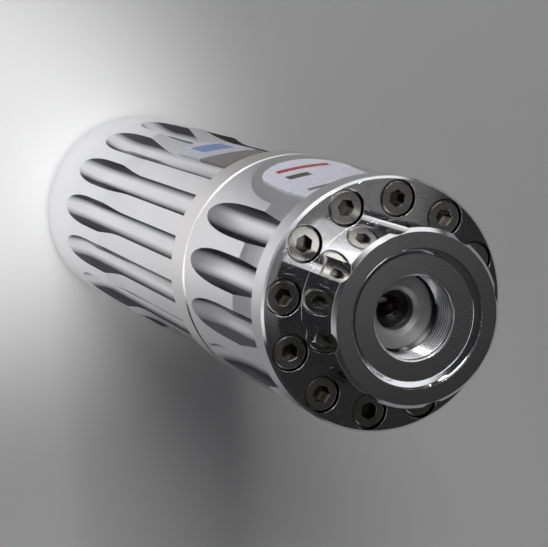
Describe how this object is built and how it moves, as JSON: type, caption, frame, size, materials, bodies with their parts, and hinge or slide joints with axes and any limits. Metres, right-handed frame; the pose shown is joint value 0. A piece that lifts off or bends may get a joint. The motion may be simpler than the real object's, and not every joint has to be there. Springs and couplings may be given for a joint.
{
  "type": "laser pointer",
  "caption": "Handheld laser pointer in polished aluminium: fluted round housing with plain joint ring, screwed front flange, stepped nose with a threaded window and a recessed tail button.",
  "frame": {"origin": "middle of the flat tail face, on the beam axis", "axes": "+Z along the beam axis from the tail to the nose, +Y out of the label fields"},
  "size_m": [0.04, 0.04, 0.1426],
  "materials": {
    "bezel_metal": "polished",
    "housing_metal": "polished",
    "ring_metal": "polished",
    "plug_metal": "fine turned",
    "button_metal": "satin",
    "cell_metal": "turned",
    "screw_steel": "plain stainless",
    "spring_steel": "drawn wire",
    "contact_metal": "nickel plated",
    "brass": "turned",
    "diode_gold": "plated",
    "lens_glass": "coated",
    "rubber": "matte",
    "lead_wrap": "wire sleeve",
    "board": "lacquered board",
    "board_parts": "moulded",
    "cell_wrap": "shrink sleeve",
    "head_foil": "foil",
    "tube_foil": "foil"
  },
  "bodies": {
    "casing": {"bezel": "bezel_metal", "bezel_screws": "screw_steel", "lens_cell": "cell_metal", "lens": "lens_glass", "lens_ring": "brass", "lens_seal": "rubber", "module_body": "brass", "laser_diode": "diode_gold", "diode_ring": "brass", "diode_leads": "lead_wrap", "driver_board": "board", "driver_parts": "board_parts", "driver_ring": "brass", "front_spring": "spring_steel", "head_body": "housing_metal", "head_label": "head_foil", "joint_ring": "ring_metal", "joint_seal": "rubber", "tube_body": "housing_metal", "tube_label": "tube_foil", "cell_can": "cell_wrap", "cell_cap": "contact_metal", "tail_spring": "spring_steel", "tail_plug": "plug_metal", "tail_seal": "rubber", "button_spring": "spring_steel", "switch_body": "board_parts", "switch_board": "board", "switch_ring": "brass"},
    "button": {"push_button": "button_metal"}
  },
  "joints": [
    {"name": "button_press", "type": "slide", "parent": "casing", "child": "button", "axis": [0, 0, 1], "range_m": [0, 0.0012], "stiffness_N_per_m": 800, "deforming": ["button_spring"]}
  ]
}
